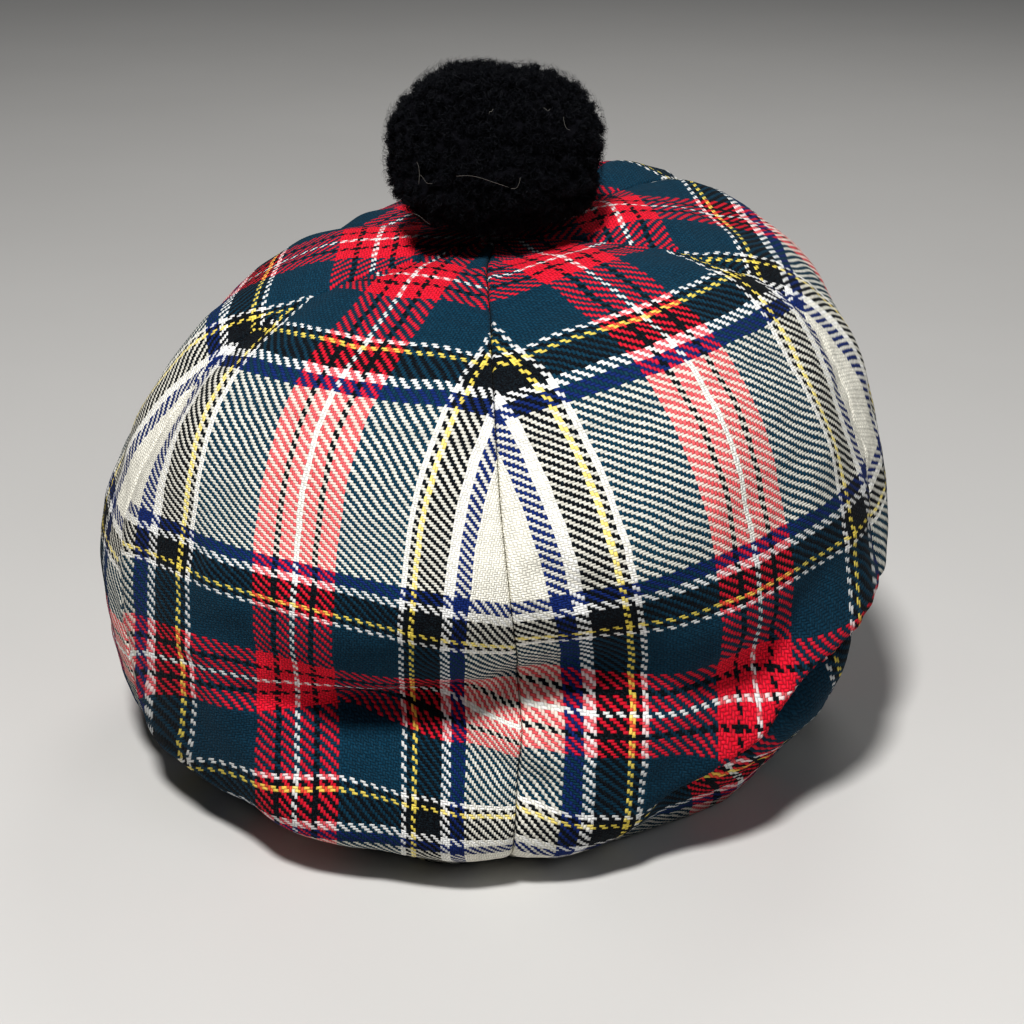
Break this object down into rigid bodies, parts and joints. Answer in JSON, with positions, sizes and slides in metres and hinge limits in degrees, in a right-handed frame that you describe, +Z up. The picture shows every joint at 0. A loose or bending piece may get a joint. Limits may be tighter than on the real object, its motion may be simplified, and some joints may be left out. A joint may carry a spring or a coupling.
{
  "type": "tam o shanter",
  "caption": "Round tartan wool cap with a full soft crown of wedge-shaped gores drooping over a plain headband, and a ball of chunky yarn seated on the crown's apex.",
  "frame": {"origin": "on the surface that the cap stands on, below the middle of the crown's outline seen from above", "axes": "+Z up through the pompom, -Y towards the front seam of the crown, +X to the wearer's left as seen from the front"},
  "size_m": [0.2844, 0.2898, 0.2515],
  "materials": {
    "tartan_wool": "twill-woven wool in a cream-ground dress tartan of red, dark green, black, blue, yellow and white",
    "headband_cloth": "plain black cotton tape",
    "pompom_yarn": "matted chunky black wool yarn"
  },
  "bodies": {
    "root": {"gore_1": "tartan_wool", "gore_2": "tartan_wool", "gore_3": "tartan_wool", "gore_4": "tartan_wool", "gore_5": "tartan_wool", "gore_6": "tartan_wool", "headband": "headband_cloth", "pompom": "pompom_yarn"}
  },
  "joints": []
}
